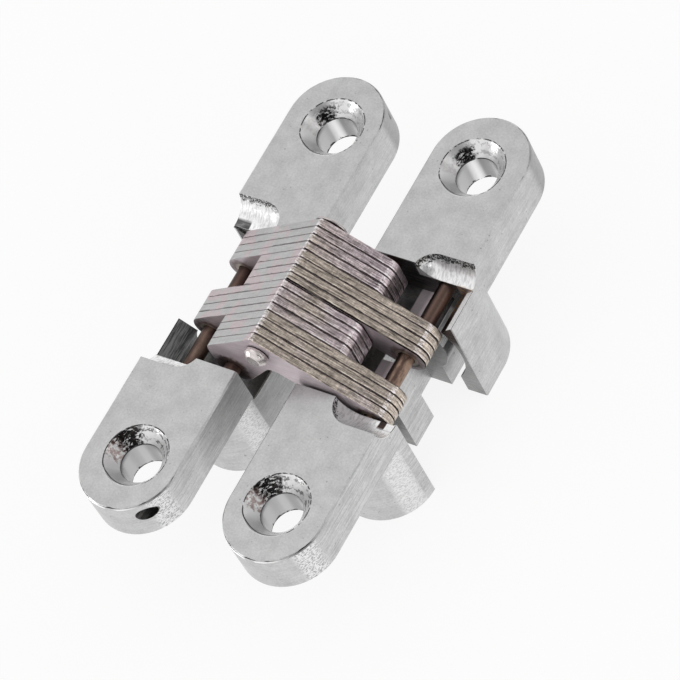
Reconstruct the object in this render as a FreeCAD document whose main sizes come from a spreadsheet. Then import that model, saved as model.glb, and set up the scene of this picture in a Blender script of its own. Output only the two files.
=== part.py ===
import FreeCAD, Part
import math
import os

import Sketcher

os.makedirs("parts", exist_ok=True)

# Concealed cross hinge in millimetres.
# The hinge lies open to a half turn, faces up, standing on the flat bottoms of its two leaves.
# X runs from the left leaf to the right leaf, Y along the leaves, Z up. The origin is at floor
# level under the middle of the mechanism.

doc = FreeCAD.newDocument("concealed_cross_hinge")
sizes = doc.addObject("Spreadsheet::Sheet", "Sizes")
sizes.Label = "Sizes"

SETTABLE = [
    ("leaf_width", 24.0, "width of a leaf, the same for its tab and its box"),
    ("leaf_length", 117.0, "length of a leaf's tab"),
    ("tab_thickness", 10.9, "thickness of the tab"),
    ("box_length", 56.6, "length of the deep box under the tab"),
    ("box_depth", 33.5, "depth of the box below the face"),
    ("leaf_spacing", 38.5, "distance between the middle lines of the open leaves"),
    ("edge_break", 0.4, "small bevel on the leaf's outline"),
    ("trough_low", 18.8, "end of the trough that has the low wall, from the middle of the leaf"),
    ("trough_ledge", 0.45, "ledge between the channels and the trough's other end"),
    ("trough_depth", 12.0, "depth of the trough's floor"),
    ("ear_inset", 3.9, "thickness of the low wall on the outer side"),
    ("ear_drop", 5.4, "how far that wall's outer edge lies below the face"),
    ("ear_fall", 3.2, "how far its sloping top falls towards the trough"),
    ("comb_reach", 3.2, "inner end of the channels, from the leaf's middle line"),
    ("comb_play", 0.54, "room beside the third pack of plates"),
    ("comb_end_play", 0.18, "room beside the first pack of plates"),
    ("tooth_setback", 2.4, "outer face of the tooth, from the leaf's middle line"),
    ("tooth_relief", 0.06, "how much narrower the tooth is on each side than a pack"),
    ("hole_spacing", 89.5, "distance between the screw holes"),
    ("hole_offset", 0.6, "screw holes' distance from the leaf's middle line"),
    ("hole_radius", 4.85, "radius of a screw hole"),
    ("sink_radius", 7.6, "radius of a countersink's rim"),
    ("sink_depth", 3.4, "depth of a countersink"),
    ("scoop_radius", 5.35, "radius of the ball-ended scoops beside the trough"),
    ("scoop_offset", 17.1, "scoops' distance from the middle of the leaf"),
    ("scoop_end", 3.9, "centre of a scoop's ball end, from the leaf's middle line"),
    ("pin_radius", 1.9, "radius of every pin"),
    ("pin_bevel", 0.35, "bevel on the ends of the plain pins"),
    ("running_play", 0.05, "radial clearance of a plate on its pin"),
    ("bore_play", 0.02, "radial clearance of a fixed pin in the casting"),
    ("bore_end", 23.6, "blind end of the fixed pin's bore, from the middle of the leaf"),
    ("fixed_pin_start", 30.0, "near end of a fixed pin, from the middle of the leaf"),
    ("fixed_pin_end", 23.3, "far end of a fixed pin, from the middle of the leaf"),
    ("fixed_wall", 3.8, "fixed pin, from the leaf's inner side"),
    ("fixed_depth", 3.8, "fixed pin, below the face"),
    ("slide_inset", 4.4, "sliding pin of the open hinge, from the leaf's middle line"),
    ("slide_depth", 7.8, "sliding pin of the open hinge, below the face"),
    ("slide_half_length", 20.0, "half the length of a sliding pin"),
    ("slot_play", 0.32, "room around a sliding pin in its slot"),
    ("slot_head", 0.15, "how far the slot's curve starts above the open hinge's sliding pin"),
    ("slot_end_play", 0.2, "room past each end of a sliding pin"),
    ("ridge_rise", 7.5, "centre pin of the open hinge, above the face"),
    ("turn_ratio", 0.471, "turn of link A on link B for each turn of link B on the left leaf"),
    ("slot_share_top", 0.10, "share of the closing turn at the slot arc's first point"),
    ("slot_share_mid", 0.58, "share of the closing turn at the slot arc's second point"),
    ("slot_share_low", 0.94, "share of the closing turn at the slot arc's third point"),
    ("arm_half_width", 4.6, "half the width of a long arm"),
    ("short_end_radius", 5.0, "radius of a short arm's end"),
    ("shoulder_radius", 3.0, "rounding of the short arm's shoulder"),
    ("armpit_radius", 3.0, "rounding between the two arms"),
    ("notch_play", 0.3, "room around the fixed pin in a long arm's notch"),
    ("notch_turn", 16.0, "turn of the notch about the centre pin, in degrees"),
    ("plate_pitch", 2.04, "distance from one plate to the next"),
    ("plate_gap", 0.08, "gap between neighbouring plates"),
    ("head_radius", 4.0, "radius of the centre pin's low domed head"),
    ("head_height", 2.0, "height of the domed head"),
    ("head_rim", 1.15, "height of the head's straight rim"),
    ("peen_radius", 2.75, "radius of the centre pin's turned-over end"),
    ("peen_height", 2.3, "height of the turned-over end"),
    ("peen_taper", 1.0, "slope around the turned-over end"),
]

DERIVED = [
    ("half_width", "leaf_width / 2"),
    ("fixed_inset", "half_width - fixed_wall"),
    ("tab_arc_centre", "(leaf_length - leaf_width) / 2"),
    ("box_arc_centre", "(box_length - leaf_width) / 2"),
    ("half_spacing", "leaf_spacing / 2"),
    ("outside", "half_width + 1"),
    ("ear_inside", "half_width - ear_inset"),
    ("pack_length", "4 * plate_pitch"),
    ("plate_thickness", "plate_pitch - plate_gap"),
    ("half_stack", "2 * pack_length - plate_gap / 2"),
    ("comb_start", "pack_length + comb_play"),
    ("comb_end", "2 * pack_length + comb_end_play"),
    ("trough_high", "comb_end + trough_ledge"),
    ("tooth_end", "pack_length - tooth_relief"),
    ("through_depth", "box_depth + 1"),
    ("fixed_along", "half_spacing - fixed_inset"),
    ("slide_along", "half_spacing + slide_inset"),
    ("short_reach", "sqrt(fixed_along ^ 2 + (ridge_rise + fixed_depth) ^ 2)"),
    ("long_reach", "sqrt(slide_along ^ 2 + (ridge_rise + slide_depth) ^ 2)"),
    ("short_bearing", "atan2(ridge_rise + fixed_depth; fixed_along) / 1 deg"),
    ("long_bearing", "atan2(ridge_rise + slide_depth; slide_along) / 1 deg"),
    ("ridge_top", "ridge_rise + arm_half_width / cos(long_bearing * 1 deg)"),
    ("closing_turn", "180 / (2 - turn_ratio)"),
    ("slot_radius", "pin_radius + slot_play"),
    ("slot_reach", "slide_half_length + slot_end_play"),
    ("notch_radius", "pin_radius + notch_play"),
    ("notch_bearing", "180 + short_bearing + notch_turn"),
    ("bore_radius", "pin_radius + bore_play"),
    ("plate_hole_radius", "pin_radius + running_play"),
    ("bore_start", "leaf_length / 2 + 1"),
    ("bore_length", "bore_start + bore_end"),
    ("head_start", "half_stack + running_play"),
]


def fill_sheet():
    row = 1
    for name, number, note in SETTABLE:
        sizes.set("A%d" % row, name)
        sizes.set("B%d" % row, str(number))
        sizes.set("C%d" % row, note)
        sizes.setAlias("B%d" % row, name)
        row += 1
    for name, formula in DERIVED:
        sizes.set("A%d" % row, name)
        sizes.set("B%d" % row, "=" + formula)
        sizes.setAlias("B%d" % row, name)
        row += 1
    doc.recompute()


NAMES = [entry[0] for entry in SETTABLE] + [entry[0] for entry in DERIVED]


def linked(formula):
    """The formula as another object reads it, with the sheet's name before each size."""
    words = []
    word = ""
    for letter in formula + " ":
        if letter.isalpha() or letter == "_":
            word += letter
            continue
        words.append("Sizes." + word if word in NAMES else word)
        words.append(letter)
        word = ""
    return "".join(words).strip()


def value(formula):
    return float(sizes.evalExpression(formula))


def bind(item, field, formula):
    item.setExpression(field, linked(formula))


def new_body(name):
    body = doc.addObject("PartDesign::Body", name)
    body.Label = name
    return body


def origin_plane(body, role):
    return [item for item in body.Origin.OriginFeatures if item.Role == role][0]


def new_sketch(body, name, role, shift=("0", "0", "0")):
    """A sketch on one of the body's planes, moved in that plane and along its normal."""
    sketch = body.newObject("Sketcher::SketchObject", name)
    sketch.AttachmentSupport = [(origin_plane(body, role), "")]
    sketch.MapMode = "FlatFace"
    offset = [value(formula) for formula in shift]
    sketch.AttachmentOffset = FreeCAD.Placement(FreeCAD.Vector(*offset), FreeCAD.Rotation())
    for axis, formula in zip("xyz", shift):
        if formula != "0":
            bind(sketch, "AttachmentOffset.Base." + axis, formula)
    return sketch


def measure(sketch, kind, item, formula):
    """A length, radius or angle held at a size of the sheet."""
    number = value(formula)
    if kind == "Angle":
        number = math.radians(number)
    row = sketch.addConstraint(Sketcher.Constraint(kind, *item, number))
    bind(sketch, "Constraints[%d]" % row, formula)


def hold(sketch, curve, corner, along, up):
    """Hold one point of a curve at a place given by two formulas."""
    for kind, formula, axis in (("DistanceX", along, -2), ("DistanceY", up, -1)):
        number = value(formula)
        if abs(number) < 1e-9:
            sketch.addConstraint(Sketcher.Constraint("PointOnObject", curve, corner, axis))
        elif number > 0:
            measure(sketch, kind, (-1, 1, curve, corner), formula)
        else:
            measure(sketch, kind, (curve, corner, -1, 1), "-(" + formula + ")")


def point(along, up):
    return FreeCAD.Vector(value(along), value(up), 0)


def polar(centre, radius, degrees):
    turn = math.radians(degrees)
    return centre + FreeCAD.Vector(radius * math.cos(turn), radius * math.sin(turn), 0)


def line(sketch, start, end):
    return sketch.addGeometry(Part.LineSegment(start, end), False)


def arc(sketch, centre, radius, first, last):
    """An arc drawn anticlockwise between two bearings in degrees."""
    circle = Part.Circle(centre, FreeCAD.Vector(0, 0, 1), radius)
    return sketch.addGeometry(Part.ArcOfCircle(circle, math.radians(first), math.radians(last)), False)


def smooth(sketch, one, one_end, other, other_end):
    sketch.addConstraint(Sketcher.Constraint("Tangent", one, one_end, other, other_end))


def join(sketch, one, one_end, other, other_end):
    sketch.addConstraint(Sketcher.Constraint("Coincident", one, one_end, other, other_end))


def polygon(sketch, corners):
    """A closed outline of straight lines, each corner held by its own two formulas."""
    spots = [point(*corner) for corner in corners]
    edges = [line(sketch, spots[i], spots[(i + 1) % len(spots)]) for i in range(len(spots))]
    for i, edge in enumerate(edges):
        join(sketch, edge, 2, edges[(i + 1) % len(edges)], 1)
        hold(sketch, edge, 1, *corners[i])


def obround(sketch, radius, centre):
    """A long outline with round ends, its arcs centred on the vertical axis."""
    r = value(radius)
    far = value(centre)
    top = arc(sketch, FreeCAD.Vector(0, far, 0), r, 0, 180)
    left = line(sketch, FreeCAD.Vector(-r, far, 0), FreeCAD.Vector(-r, -far, 0))
    low = arc(sketch, FreeCAD.Vector(0, -far, 0), r, 180, 360)
    right = line(sketch, FreeCAD.Vector(r, -far, 0), FreeCAD.Vector(r, far, 0))
    smooth(sketch, top, 2, left, 1)
    smooth(sketch, left, 2, low, 1)
    smooth(sketch, low, 2, right, 1)
    smooth(sketch, right, 2, top, 1)
    hold(sketch, top, 3, "0", centre)
    hold(sketch, low, 3, "0", "-" + centre)
    measure(sketch, "Radius", (top,), radius)
    sketch.addConstraint(Sketcher.Constraint("Equal", top, low))


def add_pad(body, sketch, name, length, downward=False, centred=False):
    pad = body.newObject("PartDesign::Pad", name)
    pad.Profile = sketch
    pad.Reversed = downward
    pad.Midplane = centred
    bind(pad, "Length", length)
    sketch.Visibility = False
    return pad


def add_pocket(body, sketch, name, length, centred=False):
    pocket = body.newObject("PartDesign::Pocket", name)
    pocket.Profile = sketch
    pocket.Midplane = centred
    bind(pocket, "Length", length)
    sketch.Visibility = False
    return pocket


def add_turned(body, sketch, name, kind, axis):
    turned = body.newObject("PartDesign::" + kind, name)
    turned.Profile = sketch
    turned.ReferenceAxis = (sketch, [axis])
    turned.Angle = 360
    sketch.Visibility = False
    return turned


def add_mirror(body, feature, name, role):
    mirror = body.newObject("PartDesign::Mirrored", name)
    mirror.Originals = [feature]
    mirror.MirrorPlane = (origin_plane(body, role), [""])
    body.Tip = mirror
    return mirror


def add_bevel(body, base, name, size, chosen):
    """Bevel those edges of the base feature that the test picks."""
    doc.recompute()
    edges = base.Shape.Edges
    picked = ["Edge%d" % (i + 1) for i in range(len(edges)) if chosen(edges[i])]
    bevel = body.newObject("PartDesign::Chamfer", name)
    bevel.Base = (base, picked)
    bind(bevel, "Size", size)
    return bevel


def level(edge, axis, height):
    """True for an edge that lies flat at one height along an axis."""
    box = edge.BoundBox
    low = getattr(box, axis + "Min")
    high = getattr(box, axis + "Max")
    return abs(low - height) < 1e-5 and abs(high - height) < 1e-5


# The casting, drawn in its own frame: X towards the other leaf, Y along the leaf, the face at
# height zero. Both leaves are this one casting.


def slot_point(share):
    """Where the sliding pin is, beside and below the leaf's face, at a share of the closing."""
    swing = "(" + share + " * closing_turn)"
    crank = "((short_bearing + " + swing + ") * 1 deg)"
    trail = "((long_bearing + " + swing + " * (1 - turn_ratio)) * 1 deg)"
    along = "fixed_inset + short_reach * cos" + crank + " - long_reach * cos" + trail
    up = "-fixed_depth + short_reach * sin" + crank + " - long_reach * sin" + trail
    return along, up


def cut_slot(body):
    """The curved slot of the sliding pin, open at the box's bottom."""
    sketch = new_sketch(body, "slot_outline", "XZ_Plane")
    places = [slot_point(share) for share in ("slot_share_top", "slot_share_mid", "slot_share_low")]
    path = Part.Arc(*[point(*place) for place in places]).toShape().Curve
    closed_up = slot_point("1")[1]
    half = value("slot_radius")
    first = 180 - math.degrees(math.asin((-value("slide_depth - slot_head") - path.Center.y) / path.Radius))
    last = 180 - math.degrees(math.asin((value(closed_up) - path.Center.y) / path.Radius))
    guide = arc(sketch, path.Center, path.Radius, first, last)
    sketch.toggleConstruction(guide)
    for place in places:
        spot = sketch.addGeometry(Part.Point(point(*place)), True)
        hold(sketch, spot, 1, *place)
        sketch.addConstraint(Sketcher.Constraint("PointOnObject", spot, 1, guide))
    measure(sketch, "DistanceY", (guide, 1, -1, 1), "slide_depth - slot_head")
    measure(sketch, "DistanceY", (guide, 2, -1, 1), "-(" + closed_up + ")")
    sides = []
    walls = []
    for shift, wall in ((half, "slide_inset + slot_radius"), (-half, "tooth_setback")):
        radius = path.Radius + shift
        turn = 360 - math.degrees(math.acos((-value(wall) - path.Center.x) / radius))
        curve = arc(sketch, path.Center, radius, first, turn)
        join(sketch, curve, 3, guide, 3)
        place = polar(path.Center, radius, turn)
        side = line(sketch, place, FreeCAD.Vector(place.x, -value("through_depth"), 0))
        join(sketch, curve, 2, side, 1)
        measure(sketch, "DistanceX", (curve, 2, -1, 1), wall)
        sketch.addConstraint(Sketcher.Constraint("Vertical", side))
        measure(sketch, "DistanceY", (side, 2, -1, 1), "through_depth")
        walls.append(curve)
        sides.append(side)
    cap = arc(sketch, polar(path.Center, path.Radius, first), half, first - 180, first)
    join(sketch, cap, 3, guide, 1)
    smooth(sketch, cap, 2, walls[0], 1)
    smooth(sketch, walls[1], 1, cap, 1)
    measure(sketch, "Radius", (cap,), "slot_radius")
    bottom = line(sketch, sketch.getPoint(sides[0], 2), sketch.getPoint(sides[1], 2))
    join(sketch, bottom, 1, sides[0], 2)
    join(sketch, bottom, 2, sides[1], 2)
    add_pocket(body, sketch, "slot", "2 * slot_reach", centred=True)


def build_leaf(name, side):
    """One casting, set to the left or turned a half turn and set to the right."""
    body = new_body(name)
    sketch = new_sketch(body, "tab_outline", "XY_Plane")
    obround(sketch, "half_width", "tab_arc_centre")
    add_pad(body, sketch, "tab", "tab_thickness", downward=True)
    sketch = new_sketch(body, "box_outline", "XY_Plane")
    obround(sketch, "half_width", "box_arc_centre")
    box = add_pad(body, sketch, "box", "box_depth", downward=True)
    floor = -value("box_depth")
    add_bevel(body, box, "outline_bevel", "edge_break",
              lambda edge: level(edge, "Z", 0) or level(edge, "Z", floor))

    sketch = new_sketch(body, "trough_outline", "XY_Plane")
    polygon(sketch, [("-ear_inside", "-trough_low"), ("outside", "-trough_low"),
                     ("outside", "trough_high"), ("-ear_inside", "trough_high")])
    add_pocket(body, sketch, "trough", "trough_depth")
    sketch = new_sketch(body, "ear_profile", "XZ_Plane", ("0", "0", "trough_low"))
    polygon(sketch, [("-outside", "0"), ("-outside", "-ear_drop"), ("-half_width", "-ear_drop"),
                     ("-ear_inside", "-ear_drop - ear_fall"), ("-ear_inside", "0")])
    add_pocket(body, sketch, "ear_top", "trough_low + trough_high")
    sketch = new_sketch(body, "comb_outline", "XY_Plane")
    polygon(sketch, [("-outside", "-comb_start"), ("comb_reach", "-comb_start"),
                     ("comb_reach", "tooth_relief"), ("-tooth_setback", "tooth_relief"),
                     ("-tooth_setback", "tooth_end"), ("comb_reach", "tooth_end"),
                     ("comb_reach", "comb_end"), ("-outside", "comb_end")])
    add_pocket(body, sketch, "comb", "through_depth")
    cut_slot(body)

    sketch = new_sketch(body, "bore_outline", "XZ_Plane", ("0", "0", "bore_start"))
    ring = sketch.addGeometry(Part.Circle(point("fixed_inset", "-fixed_depth"),
                                          FreeCAD.Vector(0, 0, 1), value("bore_radius")), False)
    hold(sketch, ring, 3, "fixed_inset", "-fixed_depth")
    measure(sketch, "Radius", (ring,), "bore_radius")
    add_pocket(body, sketch, "fixed_pin_bore", "bore_length")

    sketch = new_sketch(body, "screw_profile", "XZ_Plane", ("hole_offset", "0", "-hole_spacing / 2"))
    polygon(sketch, [("0", "0"), ("0", "-tab_thickness - 1"), ("hole_radius", "-tab_thickness - 1"),
                     ("hole_radius", "-sink_depth"), ("sink_radius", "0")])
    hole = add_turned(body, sketch, "screw_hole", "Groove", "V_Axis")
    add_mirror(body, hole, "screw_holes", "XZ_Plane")

    sketch = new_sketch(body, "scoop_profile", "XY_Plane", ("-scoop_end", "scoop_offset", "0"))
    ball = arc(sketch, FreeCAD.Vector(0, 0, 0), value("scoop_radius"), 0, 90)
    top = line(sketch, point("0", "scoop_radius"), point("-outside", "scoop_radius"))
    end = line(sketch, point("-outside", "scoop_radius"), point("-outside", "0"))
    base = line(sketch, point("-outside", "0"), point("scoop_radius", "0"))
    hold(sketch, ball, 3, "0", "0")
    hold(sketch, ball, 1, "scoop_radius", "0")
    smooth(sketch, ball, 2, top, 1)
    join(sketch, top, 2, end, 1)
    join(sketch, end, 2, base, 1)
    join(sketch, base, 2, ball, 1)
    sketch.addConstraint(Sketcher.Constraint("Horizontal", top))
    sketch.addConstraint(Sketcher.Constraint("Vertical", end))
    hold(sketch, end, 2, "-outside", "0")
    scoop = add_turned(body, sketch, "scoop", "Groove", "H_Axis")
    add_mirror(body, scoop, "scoops", "XZ_Plane")

    if side > 0:
        body.Placement = FreeCAD.Placement(FreeCAD.Vector(0, 0, 0), FreeCAD.Rotation(180, 0, 0))
    bind(body, "Placement.Base.x", "half_spacing" if side > 0 else "-half_spacing")
    bind(body, "Placement.Base.z", "box_depth")
    return body


# A plate of link A, drawn in the vertical plane through the pins: the fixed pin of its short arm
# on the right, the sliding pin of its long arm on the left. Link B is the same plate turned
# a half turn about the vertical axis.


def circle(sketch, along, up, radius):
    ring = sketch.addGeometry(Part.Circle(point(along, up), FreeCAD.Vector(0, 0, 1), value(radius)), False)
    hold(sketch, ring, 3, along, up)
    measure(sketch, "Radius", (ring,), radius)
    return ring


def plate_outline(body):
    """The boomerang outline with its three pin holes."""
    sketch = new_sketch(body, "plate_outline", "XZ_Plane")
    hub = circle(sketch, "0", "ridge_rise", "plate_hole_radius")
    circle(sketch, "fixed_along", "-fixed_depth", "plate_hole_radius")
    circle(sketch, "-slide_along", "-slide_depth", "plate_hole_radius")
    centre = point("0", "ridge_rise")
    fixed = point("fixed_along", "-fixed_depth")
    slide = point("-slide_along", "-slide_depth")
    wide = value("arm_half_width")
    slope = value("long_bearing")
    drop = value("short_bearing")
    short = value("short_end_radius")
    shoulder = value("shoulder_radius")
    pit = value("armpit_radius")
    peak = point("0", "ridge_top")

    long_end = arc(sketch, slide, wide, 90 + slope, 270 + slope)
    roof_left = line(sketch, polar(slide, wide, 90 + slope), peak)
    side_x = fixed.x + short
    corner = FreeCAD.Vector(side_x, peak.y - side_x * math.tan(math.radians(slope)), 0)
    back = shoulder * math.tan(math.radians((90 - slope) / 2))
    roof_end = polar(corner, back, 180 - slope)
    side_top = polar(corner, back, 270)
    round_centre = side_top + FreeCAD.Vector(-shoulder, 0, 0)
    roof_right = line(sketch, peak, roof_end)
    rounding = arc(sketch, round_centre, shoulder, 0, 90 - slope)
    side_line = line(sketch, side_top, fixed + FreeCAD.Vector(short, 0, 0))
    short_end = arc(sketch, fixed, short, 180 + 90 - drop - 1.5, 360)
    # the armpit lies on the bisector of the two arms
    first = (180 + slope + 360 - drop) / 2
    spread = math.sin(math.radians((360 - drop - 180 - slope) / 2))
    pit_centre = polar(centre, (wide + pit) / spread, first)
    inner_short = line(sketch, polar(fixed, short, 270 - drop - 1.5), polar(pit_centre, pit, 90 - drop))
    armpit = arc(sketch, pit_centre, pit, 90 - drop, 90 + slope)
    inner_long = line(sketch, polar(pit_centre, pit, 90 + slope), polar(slide, wide, 270 + slope))

    join(sketch, roof_left, 2, roof_right, 1)
    hold(sketch, roof_left, 2, "0", "ridge_top")
    smooth(sketch, long_end, 1, roof_left, 1)
    smooth(sketch, roof_right, 2, rounding, 2)
    smooth(sketch, rounding, 1, side_line, 1)
    smooth(sketch, side_line, 2, short_end, 2)
    smooth(sketch, short_end, 1, inner_short, 1)
    smooth(sketch, inner_short, 2, armpit, 1)
    smooth(sketch, armpit, 2, inner_long, 1)
    smooth(sketch, inner_long, 2, long_end, 2)
    hold(sketch, long_end, 3, "-slide_along", "-slide_depth")
    hold(sketch, short_end, 3, "fixed_along", "-fixed_depth")
    sketch.addConstraint(Sketcher.Constraint("Vertical", side_line))
    measure(sketch, "Radius", (long_end,), "arm_half_width")
    measure(sketch, "Radius", (short_end,), "short_end_radius")
    measure(sketch, "Radius", (rounding,), "shoulder_radius")
    measure(sketch, "Radius", (armpit,), "armpit_radius")
    measure(sketch, "Angle", (roof_left, 2, roof_right, 1), "180 - 2 * long_bearing")
    measure(sketch, "Distance", (hub, 3, inner_long), "arm_half_width")
    measure(sketch, "Distance", (hub, 3, inner_short), "arm_half_width")
    return sketch


def notch_outline(body):
    """The curved notch that clears the other leaf's fixed pin while the hinge lies open."""
    sketch = new_sketch(body, "notch_outline", "XZ_Plane")
    centre = point("0", "ridge_rise")
    reach = value("short_reach")
    half = value("notch_radius")
    last = value("notch_bearing")
    first = last - value("notch_turn")
    outer = arc(sketch, centre, reach + half, first, last)
    inner = arc(sketch, centre, reach - half, first, last)
    seat = arc(sketch, polar(centre, reach, first), half, first - 180, first)
    mouth = line(sketch, polar(centre, reach + half, last), polar(centre, reach - half, last))
    hold(sketch, outer, 3, "0", "ridge_rise")
    join(sketch, inner, 3, outer, 3)
    hold(sketch, seat, 3, "-fixed_along", "-fixed_depth")
    smooth(sketch, seat, 2, outer, 1)
    smooth(sketch, seat, 1, inner, 1)
    join(sketch, outer, 2, mouth, 1)
    join(sketch, inner, 2, mouth, 2)
    measure(sketch, "Radius", (seat,), "notch_radius")
    for curve, width in ((outer, "(short_reach + notch_radius)"), (inner, "(short_reach - notch_radius)")):
        measure(sketch, "DistanceX", (curve, 2, -1, 1), "-" + width + " * cos(notch_bearing * 1 deg)")
    return sketch


def build_plate(name, place, turned):
    """One plate, at its place in the stack counted from the stack's +Y end."""
    body = new_body(name)
    add_pad(body, plate_outline(body), "blank", "plate_thickness", centred=True)
    add_pocket(body, notch_outline(body), "notch", "plate_pitch", centred=True)
    if turned:
        body.Placement = FreeCAD.Placement(FreeCAD.Vector(0, 0, 0), FreeCAD.Rotation(180, 0, 0))
    bind(body, "Placement.Base.y", "2 * pack_length - (%d - 0.5) * plate_pitch" % place)
    bind(body, "Placement.Base.z", "box_depth")
    return body


def build_pin(name, corners, along, up, turned=False):
    """A turned pin lying along Y, from a half profile of radius and distance along the pin."""
    body = new_body(name)
    sketch = new_sketch(body, "pin_profile", "XY_Plane")
    polygon(sketch, corners)
    add_turned(body, sketch, "pin", "Revolution", "V_Axis")
    if turned:
        body.Placement = FreeCAD.Placement(FreeCAD.Vector(0, 0, 0), FreeCAD.Rotation(180, 0, 0))
    bind(body, "Placement.Base.x", along)
    bind(body, "Placement.Base.z", "box_depth + " + up)
    return body


def plain_pin(start, end):
    """The half profile of a straight pin with a bevel at both ends."""
    return [("0", start), ("pin_radius - pin_bevel", start), ("pin_radius", start + " + pin_bevel"),
            ("pin_radius", end + " - pin_bevel"), ("pin_radius - pin_bevel", end), ("0", end)]


def build_centre_pin():
    """The rivet through the ridge, with a domed head at +Y and a turned-over end at -Y."""
    body = new_body("centre_pin")
    sketch = new_sketch(body, "pin_profile", "XY_Plane")
    head_top = "(head_start + head_height)"
    peen_top = "(head_start + peen_height)"
    rows = [("0", "-" + peen_top), ("peen_radius - peen_taper", "-" + peen_top),
            ("peen_radius", "-" + peen_top + " + peen_taper"), ("peen_radius", "-head_start"),
            ("pin_radius", "-head_start"), ("pin_radius", "head_start"), ("head_radius", "head_start"),
            ("head_radius", "head_start + head_rim")]
    spots = [point(*row) for row in rows]
    crown = point("0", head_top)
    edges = [line(sketch, spots[i], spots[i + 1]) for i in range(len(spots) - 1)]
    rim = spots[-1]
    rise = crown.y - rim.y
    radius = (rim.x ** 2 + rise ** 2) / (2 * rise)
    dome_centre = FreeCAD.Vector(0, crown.y - radius, 0)
    bearing = math.degrees(math.atan2(rim.y - dome_centre.y, rim.x))
    dome = arc(sketch, dome_centre, radius, bearing, 90)
    axis = line(sketch, crown, spots[0])
    for i, edge in enumerate(edges):
        hold(sketch, edge, 1, *rows[i])
        join(sketch, edge, 2, edges[i + 1] if i + 1 < len(edges) else dome, 1)
    hold(sketch, dome, 1, *rows[-1])
    hold(sketch, dome, 2, "0", head_top)
    sketch.addConstraint(Sketcher.Constraint("PointOnObject", dome, 3, -2))
    join(sketch, dome, 2, axis, 1)
    join(sketch, axis, 2, edges[0], 1)
    add_turned(body, sketch, "pin", "Revolution", "V_Axis")
    bind(body, "Placement.Base.z", "box_depth + ridge_rise")
    return body


def build_all():
    pieces = [build_leaf("left_leaf", -1), build_leaf("right_leaf", 1)]
    for pack in range(4):
        turned = pack % 2 == 1
        for layer in range(4):
            number = (pack // 2) * 4 + layer + 1
            name = "link_%s_plate_%d" % ("b" if turned else "a", number)
            pieces.append(build_plate(name, pack * 4 + layer + 1, turned))
    pieces.append(build_centre_pin())
    fixed = plain_pin("-fixed_pin_start", "fixed_pin_end")
    pieces.append(build_pin("left_fixed_pin", fixed, "-fixed_along", "(-fixed_depth)"))
    pieces.append(build_pin("right_fixed_pin", fixed, "fixed_along", "(-fixed_depth)", turned=True))
    slide = plain_pin("-slide_half_length", "slide_half_length")
    pieces.append(build_pin("left_slide_pin", slide, "-slide_along", "(-slide_depth)"))
    pieces.append(build_pin("right_slide_pin", slide, "slide_along", "(-slide_depth)"))
    return pieces


fill_sheet()
pieces = build_all()
doc.recompute()
for item in doc.Objects:
    if "Invalid" in item.State or "Error" in item.State:
        raise RuntimeError(item.Label + " did not build")
for piece in pieces:
    if piece.Shape.isNull() or not piece.Shape.isValid() or len(piece.Shape.Solids) != 1:
        raise RuntimeError(piece.Label + " is not one sound solid")
    piece.Shape.exportStep("parts/" + piece.Label + ".step")
print(len(pieces), "pieces written")
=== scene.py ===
"""Concealed cross hinge: plated metal finishes, burred plate edges, studio floor, lights and camera."""

import math
from types import SimpleNamespace

import bpy
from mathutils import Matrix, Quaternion, Vector


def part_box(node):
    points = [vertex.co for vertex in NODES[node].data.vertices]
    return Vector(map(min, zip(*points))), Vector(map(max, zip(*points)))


bl_info = {
    "name": "Concealed Cross Hinge",
    "version": (1, 0, 0),
    "blender": (4, 5, 0),
    "location": "View3D > Sidebar > Cross Hinge",
    "description": "Gives a concealed cross hinge its metal finishes and sets up its studio",
    "category": "Object",
}

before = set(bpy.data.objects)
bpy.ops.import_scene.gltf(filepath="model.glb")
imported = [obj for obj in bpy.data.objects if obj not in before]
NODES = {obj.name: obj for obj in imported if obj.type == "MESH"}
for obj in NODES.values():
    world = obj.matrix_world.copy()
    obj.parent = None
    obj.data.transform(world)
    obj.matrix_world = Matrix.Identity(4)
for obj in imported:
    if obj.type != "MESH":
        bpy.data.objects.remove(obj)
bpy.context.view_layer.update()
MILLIMETRE = 0.001


def middle(node):
    """The middle of a node's box, in millimetres."""
    return tuple((low + high) / 2 / MILLIMETRE for low, high in zip(*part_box(node)))


# Where things lie on a casting, in millimetres from the middle of its face.

LEAF_LOW, LEAF_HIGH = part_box("left_leaf")
FACE_LEVEL = LEAF_HIGH[2] / MILLIMETRE
LEAF_MIDDLE = -middle("left_leaf")[0]
LEAF_LENGTH = 117.0
TAB_RADIUS = (LEAF_HIGH[0] - LEAF_LOW[0]) / 2 / MILLIMETRE
TAB_CENTRE = LEAF_LENGTH / 2 - TAB_RADIUS
INSIDE = TAB_RADIUS - 0.5
PIN_BORE_ACROSS = middle("left_fixed_pin")[0] + LEAF_MIDDLE
PIN_BORE_UP = middle("left_fixed_pin")[2] - FACE_LEVEL
PIN_BORE_RADIUS = 2.0
TROUGH_END = 18.9
SCOOP_MIDDLE = 17.1
SCOOP_RADIUS = 5.4
SCOOP_END = 1.6
LOW_WALL_SIDE = -8.0
LOW_WALL_TOP = -5.2
LOW_WALL_FOOT = -9.0
LIP_OUTSIDE = -11.75
LIP_INSIDE = -9.9

# Directions in the room from the middle of a screw hole; most of them place painted highlights, shade and
# reflections in the cones and bores.

FRONT = (-0.05, -1.0, 0.0)
LEFT = (-0.95, -0.31, 0.0)
BACK_LEFT = (-0.79, 0.615, 0.0)
BACK_RIGHT = (0.55, 0.835, 0.0)
BRIGHT_STRIPE = (-0.70, 0.71, 0.0)
DARK_STRIPE = (-0.18, 0.98, 0.0)
UNDER_RIM = (-0.88, -0.47, 0.0)

# The plates from the far end of the stack to the near one, and levels and radii on them in millimetres.

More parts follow.
